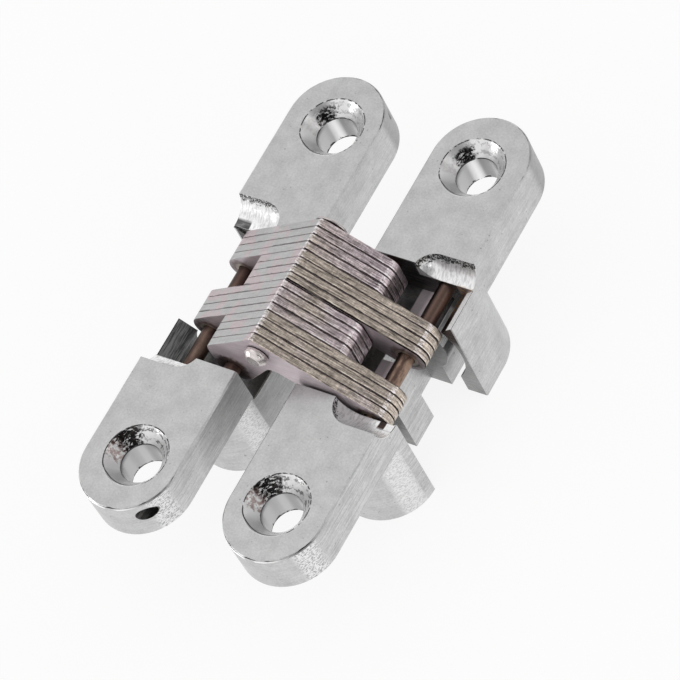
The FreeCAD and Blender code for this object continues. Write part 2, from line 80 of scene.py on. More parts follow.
PLATE_ORDER = sorted((node for node in NODES if "_plate_" in node), key=lambda node: -middle(node)[1])
STACK_END = max(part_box(node)[1][1] for node in PLATE_ORDER) / MILLIMETRE
RIDGE = 46.5
SHADE_FOOT = 26.0
SHADE_TOP = 34.0
COLLAR_RADIUS = 2.8
CRESCENT_RADIUS = 3.3

# Each pack of plates has its own share of lilac, all over and per millimetre to the right.

PACK = 4
PACK_TINTS = (0.03, -0.05, 0.13, -0.02)
PACK_FADES = (0.02, 0.003, 0.012, 0.003)

# How sharp edges are told from flat places.

WELD_REACH = 0.001 * MILLIMETRE
FLAT_ANGLE = math.radians(0.5)
SHARP_ANGLE = math.radians(35)

# The studio, in metres. Each lamp has a name, the setting of its power, a place and a size.

FLOOR_HALF = 3.0
AIM = (0.0, 0.0, 0.03)
LAMPS = (
    ("key lamp", "key_power", (-0.35, 0.15, 0.85), 0.5),
    ("side lamp", "side_power", (0.64, 0.28, 0.37), 0.25),
    ("low lamp", "low_power", (0.54, -0.69, 0.22), 0.15),
    ("rim lamp", "rim_power", (-0.64, -0.47, 0.16), 0.3),
)
CAMERA_PLACE = (0.45258, -0.30876, 0.69482 + LEAF_HIGH[2])
CAMERA_TURN = (0.925253, 0.235208, 0.220867, 0.199502)
TENT_OPENING = (0.755, -0.54, 0.378)
TENT_SHADE = (0.56, 0.38, 0.736)
WHITE = (1.0, 1.0, 1.0, 1.0)


# Sizes and colours a user may change.


def colour_setting(name, description, default):
    return bpy.props.FloatVectorProperty(
        name=name, description=description, subtype="COLOR", size=3, min=0.0, max=1.0, default=default
    )


def length_setting(name, description, millimetres):
    return bpy.props.FloatProperty(
        name=name, description=description, unit="LENGTH", min=0.0, default=millimetres * MILLIMETRE
    )


def power_setting(name, description, default):
    return bpy.props.FloatProperty(
        name=name, description=description, unit="POWER", min=0.0, default=default
    )


class CastingFinish(bpy.types.PropertyGroup):
    """Finish of the two cast leaves."""

    face_colour: colour_setting("Face colour", "Plated metal on the flat faces", (0.47, 0.47, 0.47))
    side_colour: colour_setting("Side colour", "Sides and cast skin", (0.57, 0.57, 0.57))
    bright_colour: colour_setting("Bright colour", "Countersinks and scoops", (0.84, 0.84, 0.84))
    bore_colour: colour_setting("Bore colour", "Walls of the screw holes", (0.50, 0.50, 0.50))
    # painted shade inside the trough, the channels and the pin bore
    inner_colour: colour_setting("Inner colour", "Trough, channels and pin bore", (0.10, 0.097, 0.095))
    line_colour: colour_setting("Line colour", "Dark lines along rims and burrs", (0.05, 0.05, 0.05))
    # painted highlight on the low wall's lip and on the tabs' rims
    lip_colour: colour_setting("Lip colour", "Pale lips of the low wall and the tabs", (0.97, 0.97, 0.97))
    # painted dark reflection in the cones
    patina_colour: colour_setting("Patina colour", "Black crackle in the cones", (0.008, 0.007, 0.007))
    rust_colour: colour_setting("Rust colour", "Stains in cones and beside the pin", (0.17, 0.09, 0.075))
    amber_colour: colour_setting("Amber colour", "Stain at the low wall's far end", (0.62, 0.42, 0.22))
    # painted light on a strip of the right trough's floor; a darker share of it lies under the amber stain
    worn_colour: colour_setting("Worn colour", "Strip that the arms have rubbed", (0.66, 0.57, 0.60))
    hole_spacing: length_setting("Hole spacing", "Distance between a leaf's screw holes", 89.5)
    hole_offset: length_setting("Hole offset", "Screw holes' distance from the leaf's middle line", 0.6)
    hole_radius: length_setting("Hole radius", "Radius of a screw hole", 4.85)
    sink_radius: length_setting("Sink radius", "Radius of a countersink's rim", 7.6)
    sink_depth: length_setting("Sink depth", "Depth of a countersink", 3.4)
    soft_edge: length_setting("Soft edge", "Rounding of the casting's edges", 0.22)


class PlateFinish(bpy.types.PropertyGroup):
    """Finish of the stamped link plates."""

    edge_colour: colour_setting("Edge colour", "Sheared edges of the plates", (0.50, 0.435, 0.375))
    tint_colour: colour_setting("Tint colour", "Lilac patches on the edges", (0.57, 0.485, 0.51))
    # painted sheen on the left slope's edges
    pale_colour: colour_setting("Pale colour", "Edges on the left slope, paler", (0.45, 0.455, 0.45))
    # painted rosy sheen on the left slope
    rosy_colour: colour_setting("Rosy colour", "Patches on the left slope", (0.52, 0.43, 0.45))
    side_colour: colour_setting("Side colour", "Flat sides of the plates", (0.58, 0.50, 0.53))
    # painted highlight on the burrs
    burr_colour: colour_setting("Burr colour", "Burrs at ridge and arms' ends", (0.95, 0.89, 0.90))
    # painted shade in the seams between plates and under the sliding pins
    seam_colour: colour_setting("Seam colour", "Oily seams between plates", (0.016, 0.012, 0.011))
    smudge_colour: colour_setting("Smudge colour", "Grease on flat sides round pins", (0.09, 0.05, 0.045))
    collar_colour: colour_setting("Collar colour", "Rings round the sliding pins", (0.22, 0.18, 0.15))
    seam: length_setting("Seam", "Dark part of each plate's edge beside a neighbour", 0.22)
    soft_edge: length_setting("Soft edge", "Rounding of the plates' edges", 0.16)


class PinFinish(bpy.types.PropertyGroup):
    """Finish of the turned pins."""

    # bronze of the fixed pins, which the left sliding pin also takes as painted shade
    colour: colour_setting("Pin colour", "Pins with a bronze colour", (0.17, 0.115, 0.09))
    # the right sliding pin in open view, lit and so lighter
    slide_colour: colour_setting("Sliding pin colour", "Sliding pin in open view", (0.31, 0.21, 0.155))
    stain_colour: colour_setting("Stain colour", "Dark stains on the pins", (0.10, 0.06, 0.052))
    head_colour: colour_setting("Head colour", "Rivet's domed and turned-over ends", (0.70, 0.65, 0.64))
    # painted shade in the crevices beside the rivet's ends
    crevice_colour: colour_setting("Crevice colour", "Grime beside the rivet's ends", (0.02, 0.015, 0.015))
    soft_edge: length_setting("Soft edge", "Rounding of the pins' edges", 0.2)


class StudioSetup(bpy.types.PropertyGroup):
    """Floor, lights and camera."""

    floor_colour: colour_setting("Floor colour", "Plain pale floor", (0.93, 0.93, 0.93))
    level: bpy.props.FloatProperty(
        name="Level", description="Brightness of the soft light all round", min=0.0, default=0.85
    )
    key_power: power_setting("Key power", "Soft lamp overhead", 0.22)
    side_power: power_setting("Side power", "Lamp that glints on the plates' ends", 0.16)
    low_power: power_setting("Low power", "Small low lamp that glints on the cast skin", 0.4)
    rim_power: power_setting("Rim power", "Lamp at the front left that draws the rims", 0.9)
    lens: bpy.props.FloatProperty(
        name="Lens", description="Camera's focal length", unit="CAMERA", min=10.0, default=215.6
    )


def rgba(colour):
    return (*colour, 1.0)


def chosen_values(chosen, titles):
    """The values of a property group, by the titles of the sockets that they go to."""
    values = {title: getattr(chosen, title.lower().replace(" ", "_")) for title in titles}
    return {title: rgba(value) if "Colour" in title else value for title, value in values.items()}


# Node wiring.


# A mix node's sockets for each kind: the share, the two things mixed and the result.
MIX_SOCKETS = {"RGBA": (0, 6, 7, 2), "FLOAT": (0, 2, 3, 0)}


class Wiring:
    """Adds nodes to one tree and links them."""

    def __init__(self, tree):
        self.tree = tree
        self.column = 0

    def node(self, kind, settings=None, **inputs):
        made = self.tree.nodes.new(kind)
        made.location = (self.column * 40, -self.column * 12)
        self.column += 1
        for name, setting in (settings or {}).items():
            setattr(made, name, setting)
        for name, source in inputs.items():
            self.feed(made.inputs[name.replace("_", " ")], source)
        return made

    def feed(self, socket, source):
        if isinstance(source, bpy.types.NodeSocket):
            self.tree.links.new(source, socket)
        elif source is not None:
            socket.default_value = source

    def feed_all(self, made, sources):
        for socket, source in zip(made.inputs, sources):
            self.feed(socket, source)
        return made

    def maths(self, operation, *sources, clamp=False):
        made = self.node("ShaderNodeMath", {"operation": operation, "use_clamp": clamp})
        return self.feed_all(made, sources).outputs[0]

    def plus(self, first, second):
        return self.maths("ADD", first, second)

    def minus(self, first, second):
        return self.maths("SUBTRACT", first, second)

    def times(self, first, second):
        return self.maths("MULTIPLY", first, second)

    def scaled(self, source, factor, added=1.0):
        """A source times a factor, with something added."""
        return self.maths("MULTIPLY_ADD", source, factor, added)

    def amount(self, source):
        return self.maths("ABSOLUTE", source)

    def vector(self, operation, *sources):
        made = self.feed_all(self.node("ShaderNodeVectorMath", {"operation": operation}), sources)
        return made.outputs["Value" if operation in ("LENGTH", "DOT_PRODUCT") else "Vector"]

    def stretch(self, place, factors):
        return self.vector("MULTIPLY", place, factors)

    def distance(self, x, y):
        """How far away a point is, from its offsets in two directions."""
        return self.vector("LENGTH", self.join(x, y, 0.0))

    def toward(self, source, direction):
        """How much one direction has of another."""
        return self.vector("DOT_PRODUCT", source, direction)

    def split(self, source):
        return self.node("ShaderNodeSeparateXYZ", Vector=source).outputs

    def join(self, x, y, z):
        return self.node("ShaderNodeCombineXYZ", X=x, Y=y, Z=z).outputs[0]

    def ramp(self, source, low, high, start=0.0, end=1.0):
        """A smooth step from start to end as the source goes from low to high."""
        made = self.node(
            "ShaderNodeMapRange", {"interpolation_type": "SMOOTHSTEP"},
            Value=source, From_Min=low, From_Max=high, To_Min=start, To_Max=end,
        )
        return made.outputs[0]

    def fall(self, source, low, high):
        """One below low and none above high."""
        return self.ramp(source, low, high, 1.0, 0.0)

    def mix(self, kind, *sources):
        made = self.node("ShaderNodeMix", {"data_type": kind})
        *numbers, result = MIX_SOCKETS[kind]
        for number, source in zip(numbers, sources):
            self.feed(made.inputs[number], source)
        return made.outputs[result]

    def blend(self, share, first, second):
        """From the first colour to the second as the share grows."""
        return self.mix("RGBA", share, first, second)

    def lerp(self, share, first, second):
        """From the first value to the second as the share grows."""
        return self.mix("FLOAT", share, first, second)

    def noise(self, place, scale, detail=2.0, roughness=0.5):
        made = self.node(
            "ShaderNodeTexNoise", Vector=place, Scale=scale, Detail=detail, Roughness=roughness
        )
        return made.outputs[0]

    def lines(self, place, stretch, contrast):
        """Streaks along the directions in which the stretch is small."""
        group = shared(brushed_lines)
        return use_group(self, group, Place=place, Stretch=stretch, Contrast=contrast)["Lines"]

    def every(self, *masks):
        """Where all masks hold."""
        joint = masks[0]
        for mask in masks[1:]:
            joint = self.times(joint, mask)
        return joint

    def either(self, *masks):
        """Where at least one mask holds."""
        joint = masks[0]
        for mask in masks[1:]:
            joint = self.maths("MAXIMUM", joint, mask)
        return joint

    def apart(self, mask):
        """Where a mask doesn't hold."""
        return self.minus(1.0, mask)

    def band(self, source, low, high, soft):
        """One between low and high, fading over soft outside them."""
        return self.every(self.ramp(source, low - soft, low), self.fall(source, high, high + soft))

    def vary(self, source, amount):
        """A share between one minus and one plus half the amount, from a source round a half."""
        return self.scaled(self.minus(source, 0.5), amount)

    def shade(self, colour, share):
        return self.stretch(colour, self.join(share, share, share))

    def adjust(self, colour, changes):
        """A colour lightened or darkened by each change where its mask holds."""
        for mask, change in changes:
            colour = self.shade(colour, self.scaled(mask, change))
        return colour

    def either_shader(self, share, first, second):
        """From the first shader to the second as the share grows."""
        sources = (share, first.outputs[0], second.outputs[0])
        return self.feed_all(self.node("ShaderNodeMixShader"), sources)


def cover(lay, base, layers):
    """A base with layers laid over it by blend or lerp, each where its mask holds."""
    for mask, layer in layers:
        base = lay(mask, base, layer)
    return base


def new_group(name, inputs, outputs):
    """A shader node group with its sockets; inputs and outputs list the titles of each type."""
    tree = bpy.data.node_groups.new(name, "ShaderNodeTree")
    for direction, sockets in (("INPUT", inputs), ("OUTPUT", outputs)):
        for kind, titles in sockets:
            for title in titles:
                tree.interface.new_socket(title, in_out=direction, socket_type="NodeSocket" + kind)
    wire = Wiring(tree)
    return wire, wire.node("NodeGroupInput").outputs, wire.node("NodeGroupOutput").inputs


def use_group(wire, tree, **inputs):
    return wire.node("ShaderNodeGroup", {"node_tree": tree}, **inputs).outputs


GROUPS = {}


def shared(builder):
    """The group of a builder, made once."""
    if builder.__name__ not in GROUPS:
        GROUPS[builder.__name__] = builder()
    return GROUPS[builder.__name__]


# Effects that several finishes use. Place is in millimetres.


def brushed_lines():
    """Fine streaks, long in one direction, round a half."""
    wire, given, out = new_group(
        "brushed lines",
        [("Vector", ["Place", "Stretch"]), ("Float", ["Contrast"])],
        [("Float", ["Lines"])],
    )
    laid = wire.stretch(given["Place"], given["Stretch"])
    fine = wire.noise(laid, 2.4, 3.0, 0.65)
    broad = wire.noise(laid, 0.7, 1.0)
    mixed = wire.scaled(broad, 0.45, wire.times(fine, 0.55))
    centred = wire.times(wire.minus(mixed, 0.5), given["Contrast"])
    wire.feed(out["Lines"], wire.maths("ADD", centred, 0.5, clamp=True))
    return wire.tree


def fine_mottle():
    """Soft clouds with a fine grain in them, round a half, and a few pits."""
    wire, given, out = new_group("fine mottle", [("Vector", ["Place"])], [("Float", ["Mottle", "Pits"])])
    clouds = wire.noise(given["Place"], 0.22, 3.0, 0.6)
    grain = wire.noise(given["Place"], 2.2, 2.0, 0.6)
    wire.feed(out["Mottle"], wire.scaled(clouds, 0.5, wire.times(grain, 0.5)))
    specks = wire.noise(given["Place"], 1.15, 1.0, 0.4)
    wire.feed(out["Pits"], wire.ramp(specks, 0.74, 0.78))
    return wire.tree


FINISH = [("Color", ["Colour"]), ("Float", ["Roughness", "Metal", "Height"])]


# The castings. Their masks, places and grains are kept together in at.


CASTING_COLOURS = [
    "Face Colour", "Side Colour", "Bright Colour", "Bore Colour", "Inner Colour", "Line Colour",
    "Lip Colour", "Patina Colour", "Rust Colour", "Amber Colour", "Worn Colour",
]
CASTING_LENGTHS = ["Hole Spacing", "Hole Offset", "Hole Radius", "Sink Radius", "Sink Depth"]


def casting_places(wire, given):
    """Where a point lies on its leaf and in the room, and which way its surface faces."""
    across, along, up = wire.split(given["Place"])
    facing = wire.split(given["Facing"])
    room = given["Room"]
    return SimpleNamespace(
        place=given["Place"], across=across, along=along, up=up, ends=wire.amount(along),
        facing=facing, room=room, right_leaf=wire.fall(room, -0.5, 0.5),
        backward=wire.times(along, room),
        toward_front=wire.times(facing[1], room),
        toward_right=wire.times(facing[0], room),
        face=wire.every(wire.ramp(facing[2], 0.9, 0.98), wire.ramp(up, -0.2, -0.1)),
        size={title: wire.maths("DIVIDE", given[title], MILLIMETRE) for title in CASTING_LENGTHS},
    )


def casting_grain(wire, at):
    """Streaks down the sides and across the face, mottle, dents and pebbles."""
    at.side_lines = wire.lines(at.place, (0.14, 0.14, 3.2), 1.6)
    at.streaks = wire.lerp(at.face, at.side_lines, wire.lines(at.place, (2.4, 0.22, 1.0), 0.9))
    at.mottle = use_group(wire, shared(fine_mottle), Place=at.place)
    at.wander = wire.noise(at.place, 0.8, 2.0, 0.6)
    at.dents = wire.noise(at.place, 1.1, 3.0, 0.6)
    at.grain = wire.noise(at.place, 2.6, 2.0, 0.6)
    at.pebbles = wire.noise(wire.stretch(at.place, (0.8, 0.8, 1.7)), 1.5, 2.0, 0.6)


def hole_zones(wire, at):
    """Cones and bores of the screw holes, and the direction from a hole's middle in the room."""
    beside = wire.minus(at.across, at.size["Hole Offset"])
    beyond = wire.minus(at.ends, wire.times(at.size["Hole Spacing"], 0.5))
    at.from_hole = wire.distance(beside, beyond)
    at.past_sink = wire.minus(at.from_hole, at.size["Sink Radius"])
    at.past_bore = wire.minus(at.from_hole, at.size["Hole Radius"])
    at.under_sink = wire.plus(at.up, at.size["Sink Depth"])
    at.sink = wire.every(
        wire.fall(at.past_sink, 0.0, 0.12),
        wire.either(wire.ramp(at.under_sink, -0.4, -0.3), wire.fall(at.past_bore, 0.1, 0.2)),
    )
    at.bore = wire.every(at.sink, wire.fall(at.under_sink, -0.25, -0.1))
    outward = wire.join(beside, wire.times(beyond, wire.maths("SIGN", at.along)), 0.0)
    outward = wire.vector("DIVIDE", outward, wire.join(at.from_hole, at.from_hole, 1.0))
    at.outward = wire.stretch(outward, wire.join(at.room, at.room, 1.0))
    at.back_hole = wire.ramp(at.backward, -5.0, 5.0)


def hole_lines(wire, at):
    """Fine dark lines round a cone's rim, widening at the front into a painted dark crescent, round its
    bore's rim and at the torn foot of the bore.
    """
    to_front = wire.toward(at.outward, FRONT)
    # the rim line widens at the front as a painted dark crescent
    from_line = wire.minus(at.past_sink, wire.times(wire.ramp(to_front, 0.55, 1.0), -0.5))
    sink_line = wire.every(
        wire.band(from_line, -0.05, 0.16, 0.06), wire.fall(at.past_sink, 0.18, 0.24),
        wire.either(wire.ramp(at.wander, 0.40, 0.52), wire.ramp(to_front, 0.6, 0.8)),
        wire.ramp(at.up, -0.9, -0.8),
    )
    bore_line = wire.every(
        wire.band(at.under_sink, -0.32, 0.02, 0.08), at.sink, wire.ramp(at.wander, 0.3, 0.42)
    )
    torn_foot = wire.every(at.sink, wire.fall(wire.scaled(at.wander, 2.4, at.up), -9.5, -9.3))
    return wire.either(sink_line, bore_line, torn_foot)


def cone_zones(wire, at):
    """A cone's parts in the room: smooth and painted darker at the left, a painted dark reflection at the
    back left, rippled at the right.
    """
    stray = wire.scaled(at.dents, 0.5, -0.25)
    to_left = wire.plus(wire.toward(at.outward, LEFT), stray)
    to_back_left = wire.plus(wire.toward(at.outward, BACK_LEFT), stray)
    full, none = (wire.lerp(at.back_hole, *pair) for pair in ((3.6, 1.7), (4.0, 2.3)))
    black_end = wire.fall(wire.scaled(stray, 4.0, at.past_bore), full, none)
    # painted dark reflection at the back left of the cone
    at.black = wire.every(wire.ramp(wire.scaled(at.back_hole, -0.03, to_back_left), 0.83, 0.95), black_end)
    at.smooth = wire.every(wire.ramp(to_left, 0.3, 0.6), wire.apart(at.black))
    at.rusty = wire.every(
        wire.band(to_back_left, 0.62, 0.90, 0.10), wire.ramp(to_left, 0.2, 0.4),
        wire.ramp(at.dents, 0.36, 0.60), wire.lerp(at.back_hole, 0.75, 0.2),
    )
    waves = wire.maths("SINE", wire.scaled(at.dents, 9.0, wire.times(at.from_hole, 5.0)))
    at.ripple = wire.every(
        wire.ramp(waves, 0.35, 0.85), wire.ramp(wire.toward(at.outward, BACK_RIGHT), 0.1, 0.4),
        wire.ramp(at.wander, 0.40, 0.54), wire.lerp(at.back_hole, 1.0, 0.5),
    )


def trough_zones(wire, at):
    """The two scoops, the low wall, the fixed pin's bore and all that lies inside the trough."""
    from_scoop = wire.distance(wire.minus(at.ends, SCOOP_MIDDLE), at.up)
    at.scoop = wire.every(
        wire.fall(from_scoop, SCOOP_RADIUS, SCOOP_RADIUS + 0.2),
        wire.fall(at.across, SCOOP_END, SCOOP_END + 0.2),
        wire.fall(at.up, -0.15, -0.05),
    )
    between_tabs = wire.fall(at.ends, TROUGH_END, TROUGH_END + 0.3)
    at.low_top = wire.every(
        wire.fall(at.across, LOW_WALL_SIDE - 0.3, LOW_WALL_SIDE),
        wire.fall(at.up, LOW_WALL_TOP, LOW_WALL_TOP + 0.3),
        wire.ramp(at.up, LOW_WALL_FOOT, LOW_WALL_FOOT + 0.3),
        wire.ramp(at.facing[2], 0.35, 0.6), between_tabs,
    )
    trough = wire.every(
        between_tabs, wire.band(at.across, -INSIDE, INSIDE, 0.1), wire.fall(at.up, -0.6, -0.2),
        wire.ramp(at.facing[0], -0.6, -0.3), wire.apart(at.scoop), wire.apart(at.low_top),
    )
    # the painted shade is about half as strong deeper than 14 mm below the face
    trough = wire.times(trough, wire.lerp(wire.ramp(at.up, -14.0, -11.0), 0.55, 1.0))
    from_pin = wire.distance(wire.minus(at.across, PIN_BORE_ACROSS), wire.minus(at.up, PIN_BORE_UP))
    pin_bore = wire.every(
        wire.fall(from_pin, PIN_BORE_RADIUS, PIN_BORE_RADIUS + 0.1),
        wire.fall(wire.amount(at.facing[1]), 0.5, 0.7),
    )
    # inside the trough and the fixed pin's bore the metal takes painted shade
    at.inner = wire.either(trough, pin_bore)
    at.low_side = wire.every(
        trough, at.right_leaf, wire.ramp(at.up, -15.0, -9.0),
        wire.fall(at.across, LOW_WALL_SIDE + 0.2, LOW_WALL_SIDE + 0.4),
    )


def worn_zones(wire, at):
    """On the right leaf: a painted lit strip on the trough's floor, a painted highlight on the low wall's
    lip and a pale strip below.
    """
    # painted light on a strip of the trough's floor
    at.worn = wire.every(
        at.right_leaf, wire.band(at.across, 0.0, 3.2, 0.4), wire.fall(at.up, -11.0, -9.0),
        wire.ramp(at.facing[2], 0.5, 0.7),
    )
    # painted highlight along the top of the right leaf's low wall
    at.lip = wire.every(at.low_top, at.right_leaf, wire.band(at.across, LIP_OUTSIDE, LIP_INSIDE, 0.12))
    at.scuffed = wire.every(
        at.right_leaf, wire.ramp(at.facing[0], -0.7, -0.85), wire.band(at.across, -6.6, -4.7, 0.1),
        wire.band(at.up, -16.0, -12.05, 0.1),
    )


def skin_zones(wire, at):
    """The round ends' cast skin with its painted glint, and the ends that face the back right, which take
    painted shade.
    """
    skin_start = TROUGH_END + 0.1
    at.skin = wire.every(
        wire.ramp(at.toward_front, -0.1, -0.3), wire.ramp(at.ends, skin_start, skin_start + 0.4),
        wire.apart(at.face),
    )
    at.glint = wire.every(at.skin, wire.band(at.toward_right, 0.81, 0.92, 0.12))
    at.back_end = wire.every(
        wire.ramp(at.toward_front, 0.1, 0.3), wire.ramp(at.ends, TAB_CENTRE - 2.5, TAB_CENTRE),
        wire.ramp(at.toward_right, 0.3, 0.6), wire.apart(at.face),
    )


def rim_zones(wire, at):
    """Along the tabs' round rims: a dark line that comes and goes, painted in place of a dark reflection,
    and a painted highlight line at the front left.
    """
    from_centre = wire.distance(at.across, wire.minus(at.ends, TAB_CENTRE))
    rim = wire.every(
        wire.ramp(at.ends, TAB_CENTRE - 2.5, TAB_CENTRE + 1.0),
        wire.ramp(from_centre, INSIDE, INSIDE + 0.1), wire.apart(at.sink),
    )
    slow = wire.noise(at.place, 0.28, 2.0, 0.5)
    past_line = wire.minus(from_centre, wire.scaled(slow, 0.9, TAB_RADIUS - 0.76))
    at.rim_light = wire.every(
        rim, wire.band(at.up, -0.55, -0.3, 0.06), wire.ramp(slow, 0.36, 0.5),
        wire.ramp(at.toward_front, -0.1, -0.3), wire.fall(at.toward_right, 0.3, 0.6),
    )
    # painted dark line along the rim, in place of a dark reflection
    at.rim_dark = wire.every(rim, wire.ramp(past_line, 0.0, 0.08), wire.ramp(at.up, -0.24, -0.16))


def plain_metal(wire, given, at):
    """Plated metal of the face, the sides and the round ends, with painted shade on some sides and on the
    back ends, a painted glint and a painted highlight line along the tabs' rims.
    """
    side_contrast = wire.lerp(at.skin, wire.lerp(wire.ramp(at.backward, 0.0, 18.0), 0.95, 0.5), 0.35)
    colour = wire.blend(at.face, given["Side Colour"], given["Face Colour"])
    colour = wire.shade(colour, wire.vary(at.streaks, wire.lerp(at.face, side_contrast, 0.25)))
    colour = wire.shade(colour, wire.vary(at.mottle["Mottle"], 0.9))
    # painted shade on the left leaf's sides that face right, strongest just in front of the leaf's middle
    dull_side = wire.every(
        wire.ramp(at.toward_right, 0.9, 0.97), wire.apart(at.right_leaf),
        wire.band(at.along, -24.0, 0.0, 18.0),
    )
    # pits darken the metal, and the back ends take painted shade
    colour = wire.adjust(colour, ((dull_side, -0.28), (at.mottle["Pits"], -0.35), (at.back_end, -0.35)))
    # the glint is a painted highlight on the round ends' skin, with a wormy grain in it
    worms = wire.noise(wire.stretch(at.place, (0.9, 0.9, 1.5)), 1.9, 2.0, 0.6)
    worms = wire.ramp(worms, 0.36, 0.56, 0.45, 1.05)
    worms = wire.lerp(wire.ramp(at.ends, 34.0, 38.0, 0.5, 1.0), 1.0, worms)
    colour = wire.blend(at.glint, colour, wire.shade(given["Bright Colour"], worms))
    # painted highlight line along the front left of the tabs' rims
    return wire.blend(at.rim_light, colour, given["Lip Colour"])


def scoop_metal(wire, given, at):
    """Bright, with an irregular dark band along the upper edge and fine streaks down the walls."""
    falls = wire.noise(wire.stretch(at.place, (1.0, 0.3, 0.3)), 2.2, 2.0, 0.6)
    torn = wire.scaled(wire.noise(at.place, 1.2, 3.0, 0.7), 4.0, at.up)
    smut = wire.times(wire.ramp(torn, -0.15, 0.35), wire.ramp(at.grain, 0.42, 0.49))
    walls = wire.shade(given["Bright Colour"], wire.ramp(falls, 0.35, 0.6, 0.80, 1.12))
    return wire.blend(smut, walls, given["Line Colour"])


def cone_metal(wire, given, at):
    """Bright, painted darker at the left, with dark ripples, a painted dark reflection broken into crackle
    drawn out down the cone, and rust beside it.
    """
    # painted shade makes the smooth left part darker
    colour = wire.shade(given["Bright Colour"], wire.lerp(at.smooth, wire.scaled(at.ripple, -0.72), 0.74))
    drawn = wire.join(0.0, 0.0, wire.times(at.from_hole, 3.0))
    drawn = wire.vector("ADD", wire.stretch(at.outward, (5.0, 5.0, 0.0)), drawn)
    drawn = wire.vector("ADD", drawn, wire.stretch(at.place, (0.02, 0.02, 0.0)))
    crackle = wire.ramp(wire.noise(drawn, 1.0, 2.0, 0.6), 0.54, 0.64)
    black = wire.blend(crackle, given["Patina Colour"], given["Bright Colour"])
    return cover(wire.blend, colour, ((at.black, black), (at.rusty, given["Rust Colour"])))


def bore_metal(wire, given, at):
    """A screw hole's wall, with a painted highlight stripe and a painted dark stripe at the back and a
    painted shadow under its rim.
    """
    bright = wire.ramp(wire.toward(at.outward, BRIGHT_STRIPE), 0.93, 1.0)
    bright = wire.times(bright, wire.lerp(at.back_hole, 0.1, 1.0))
    dark = wire.ramp(wire.toward(at.outward, DARK_STRIPE), 0.93, 1.0)
    under_rim = wire.every(
        wire.ramp(wire.toward(at.outward, UNDER_RIM), 0.55, 0.95), wire.ramp(at.under_sink, -1.8, -0.3)
    )
    return wire.adjust(given["Bore Colour"], ((bright, 0.9), (dark, -0.3), (under_rim, -0.65)))


def streaked(wire, at, colour, dark, light):
    """A colour with the sides' streaks in it, from dark to light."""
    return wire.shade(colour, wire.ramp(at.side_lines, 0.3, 0.7, dark, light))


def inner_metal(wire, given, at):
    """Painted shade, dark and rough, with the painted lit strip, lightest at the leaf's middle line."""
    dull = wire.shade(given["Inner Colour"], wire.vary(at.mottle["Mottle"], 1.6))
    # painted light on the strip, lightest at the leaf's middle line
    rubbed = wire.shade(given["Worn Colour"], wire.ramp(at.across, 0.0, 1.6, 1.9, 0.9))
    return wire.blend(at.worn, streaked(wire, at, dull, 0.6, 1.5), rubbed)


def low_wall_stain(wire, given, at):
    """Rust beside the sliding pin, darkened as painted shade along most of the low wall, with amber
    patches at its far end.
    """
    rust = streaked(wire, at, given["Rust Colour"], 0.3, 1.1)
    # painted shade along the low wall, lifted at its far end
    rust = wire.shade(rust, wire.ramp(at.along, -14.5, -13.0, 1.0, 0.45))
    patches = wire.ramp(at.dents, 0.42, 0.56)
    amber = wire.blend(patches, wire.shade(given["Worn Colour"], 0.6), given["Amber Colour"])
    return wire.blend(wire.ramp(at.along, -11.5, -15.0), rust, amber)


def casting_colour(wire, given, at):
    """The colours of all zones, one over the other."""
    stain = low_wall_stain(wire, given, at)
    # the low wall's top: painted shade on the left leaf, the rusty stain on the right one
    low_top = wire.blend(at.right_leaf, streaked(wire, at, given["Side Colour"], 0.12, 0.5), stain)
    scuffed = streaked(wire, at, given["Bright Colour"], 0.55, 1.1)
    # the pale strip darkens as painted shade at its far end, by the trough's end wall
    scuffed = wire.shade(scuffed, wire.ramp(at.along, -17.5, -16.5, 0.4, 1.0))
    return cover(wire.blend, plain_metal(wire, given, at), (
        (at.scoop, scoop_metal(wire, given, at)),
        (at.sink, cone_metal(wire, given, at)),
        (at.bore, bore_metal(wire, given, at)),
        (at.inner, inner_metal(wire, given, at)),
        (at.low_side, stain),
        (at.low_top, low_top),
        (at.scuffed, scuffed),
        # painted highlight along the right leaf's low wall lip
        (at.lip, wire.shade(given["Lip Colour"], wire.ramp(at.grain, 0.3, 0.5, 0.8, 1.0))),
        (at.lines, given["Line Colour"]),
    ))


def casting_metal(wire, at):
    """How much of a mirror the metal is: less at the bright and pale places and at the painted lit strip.
    """
    cone = wire.every(at.sink, wire.apart(at.bore))
    bright = wire.times(wire.either(at.scoop, cone), wire.lerp(at.sink, 0.4, 0.6))
    # the painted lit strip is less of a mirror
    rubbed = wire.every(at.inner, at.worn)
    matt = wire.either(at.lip, at.rim_light, wire.times(at.glint, 0.35), bright, rubbed, at.scuffed)
    return wire.apart(wire.times(matt, 0.9))


def casting_roughness(wire, at):
    return cover(wire.lerp, wire.scaled(wire.minus(at.streaks, 0.5), 0.2, 0.40), (
        (at.glint, 0.3), (at.scoop, 0.3), (at.sink, 0.24), (at.bore, 0.3), (at.inner, 0.5),
        (at.lines, 0.5), (at.lip, 0.7), (at.rim_light, 0.3),
    ))


def casting_height(wire, at):
    """The relief, in millimetres."""
    return cover(wire.lerp, wire.times(at.streaks, wire.lerp(at.face, 0.010, 0.004)), (
        (at.glint, wire.times(at.pebbles, 0.15)),
        (at.scoop, wire.times(at.dents, 0.06)),
        (at.sink, wire.times(at.dents, wire.lerp(at.smooth, 0.05, 0.01))),
        (at.bore, 0.0),
        (at.inner, wire.times(at.pebbles, 0.1)),
    ))


